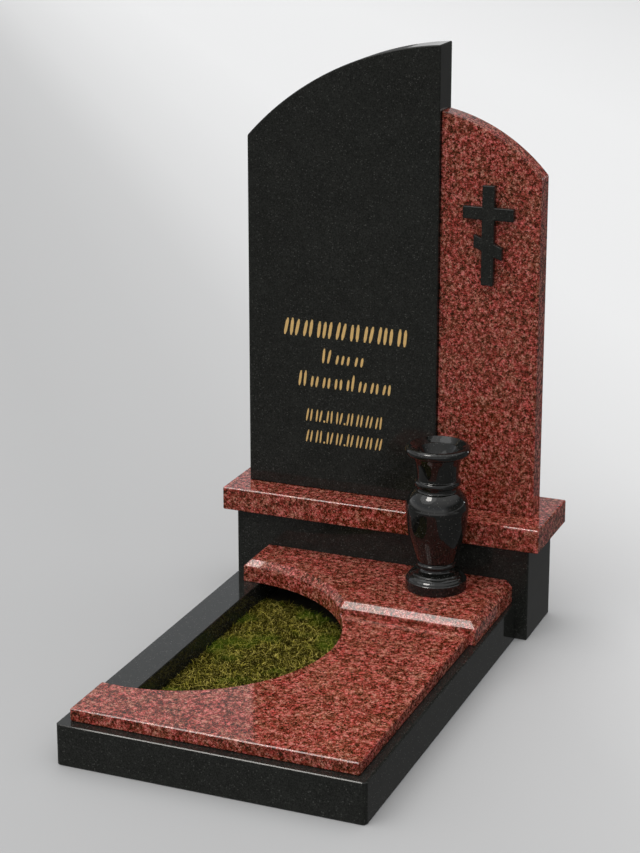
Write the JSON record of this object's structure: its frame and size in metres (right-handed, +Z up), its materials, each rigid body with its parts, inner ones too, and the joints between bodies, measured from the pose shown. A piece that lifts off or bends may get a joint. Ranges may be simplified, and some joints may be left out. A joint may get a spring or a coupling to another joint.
{
  "type": "family headstone with a kerbed grave bed",
  "caption": "Granite family memorial: tall arched black stele beside a lower red one with a small slant-barred cross, on a plinth over a kerbed bed with ledgers, turf and a turned vase.",
  "frame": {"origin": "on the ground, under the middle of the whole memorial's box", "axes": "+Z up; the front faces -Y; +X is to the right of someone who stands before the memorial"},
  "size_m": [0.7, 1.03, 1.2098],
  "materials": {
    "black_granite": "polished",
    "red_granite": "polished",
    "turf": "matte",
    "gilding": "satin"
  },
  "bodies": {
    "root": {"kerb_front": "black_granite", "kerb_left": "black_granite", "kerb_right": "black_granite", "turf": "turf", "lower_ledger": "red_granite", "upper_ledger": "red_granite", "base_block": "black_granite", "plinth_slab": "red_granite", "black_stele": "black_granite", "red_stele": "red_granite", "cross": "black_granite", "vase": "black_granite"}
  },
  "joints": []
}
